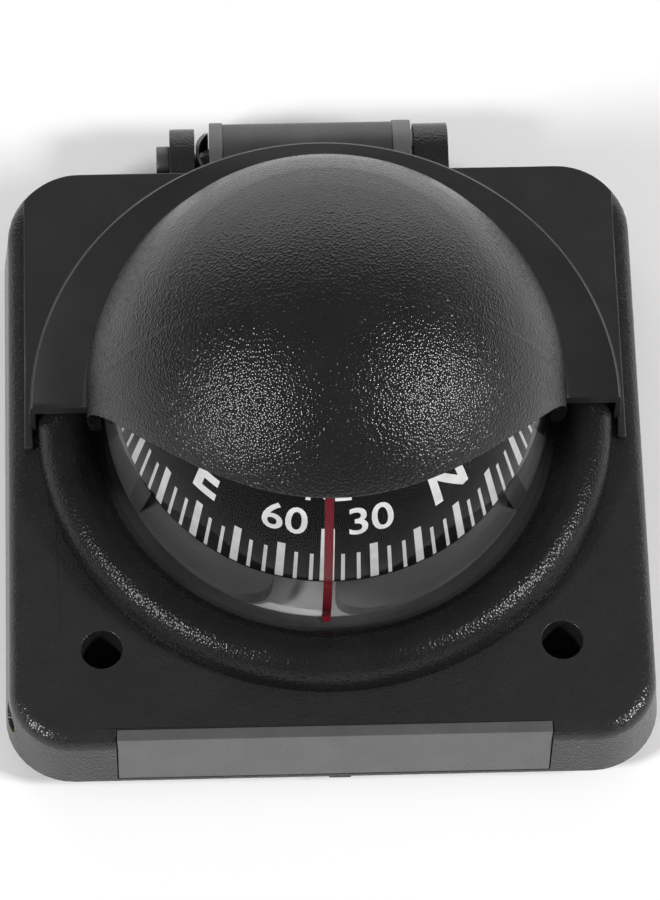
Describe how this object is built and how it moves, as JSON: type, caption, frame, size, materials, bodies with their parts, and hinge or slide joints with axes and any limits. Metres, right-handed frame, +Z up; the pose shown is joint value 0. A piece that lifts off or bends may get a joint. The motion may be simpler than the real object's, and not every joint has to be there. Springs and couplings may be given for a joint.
{
  "type": "tilting bulkhead compass",
  "caption": "Liquid-filled globe compass in a square black housing with a visor hood, hinged on a flat screw-down bracket.",
  "frame": {"origin": "on the mounting face, under the middle of the square housing", "axes": "+Z up out of the mounting face, +X to the right, the visor and lubber line face -Y, the hinge is at +Y"},
  "size_m": [0.085, 0.0927, 0.0554],
  "materials": {
    "foam": "closed-cell foam",
    "bracket_plastic": "moulded satin",
    "yoke_plastic": "moulded satin",
    "steel": "plated",
    "housing_plastic": "fine moulded texture",
    "cover_plastic": "moulded",
    "panel_plastic": "smooth satin",
    "grained_plastic": "pebbled grain",
    "seal_rubber": "smooth rubber",
    "clear_acrylic": "polished clear",
    "bowl_plastic": "light grey moulding",
    "red_plastic": "red moulding",
    "diaphragm_rubber": "grey rubber",
    "brass": "turned",
    "gimbal_plastic": "moulded",
    "hood_plastic": "pebbled grain",
    "bolt_black": "black plated",
    "spring_steel": "blackened spring steel",
    "lead": "cast weight",
    "card_black": "matt black with white print",
    "float_plastic": "moulded",
    "magnet": "bar magnet"
  },
  "bodies": {
    "bracket": {"bracket_pad": "foam", "bracket_plate": "bracket_plastic", "bracket_yoke": "yoke_plastic", "yoke_screws": "steel"},
    "housing": {"base_housing": "housing_plastic", "base_cover": "cover_plastic", "cover_screws": "steel", "front_panel": "panel_plastic", "bezel_ring": "grained_plastic", "bezel_screws": "steel", "bowl_seal": "seal_rubber", "globe_dome": "clear_acrylic", "globe_bowl": "bowl_plastic", "lubber_line": "red_plastic", "diaphragm": "diaphragm_rubber", "diaphragm_ring": "bowl_plastic", "filler_plug": "brass", "gimbal_bridge": "gimbal_plastic", "bridge_screws": "steel", "hood": "hood_plastic", "hood_screws": "steel", "hinge_bolt": "bolt_black", "hinge_nut": "steel", "wave_washer": "spring_steel"},
    "gimbal_ring": {"gimbal_ring": "brass", "ring_pivots": "steel"},
    "gimbal_cradle": {"gimbal_cradle": "gimbal_plastic", "cradle_pivots": "steel", "counterweight": "lead", "pivot_pin": "steel"},
    "card": {"card_dial": "card_black", "card_float": "float_plastic", "jewel_cup": "brass", "magnet_carrier": "float_plastic", "card_magnets": "magnet"},
    "ns_compensator": {"compensator_ns": "brass", "ns_magnets": "magnet"},
    "ew_compensator": {"compensator_ew": "brass", "ew_magnets": "magnet"}
  },
  "joints": [
    {"name": "housing_tilt", "type": "hinge", "parent": "bracket", "child": "housing", "pos_m": [0, 0.0446, 0.0091], "axis": [-1, 0, 0], "range_deg": [0, 100]},
    {"name": "gimbal_pitch", "type": "hinge", "parent": "housing", "child": "gimbal_ring", "pos_m": [0, 0.0026, 0.0218], "axis": [1, 0, 0], "range_deg": [-15, 15]},
    {"name": "gimbal_roll", "type": "hinge", "parent": "gimbal_ring", "child": "gimbal_cradle", "pos_m": [0, 0.0026, 0.0218], "axis": [0, 1, 0], "range_deg": [-15, 15]},
    {"name": "card_heading", "type": "hinge", "parent": "gimbal_cradle", "child": "card", "pos_m": [0, 0.0026, 0.0218], "axis": [0, 0, 1], "continuous": true},
    {"name": "ns_adjust", "type": "hinge", "parent": "housing", "child": "ns_compensator", "pos_m": [0.0362, 0.0394, 0.0086], "axis": [0, 1, 0], "continuous": true},
    {"name": "ew_adjust", "type": "hinge", "parent": "housing", "child": "ew_compensator", "pos_m": [-0.0412, -0.0352, 0.0086], "axis": [1, 0, 0], "continuous": true}
  ]
}
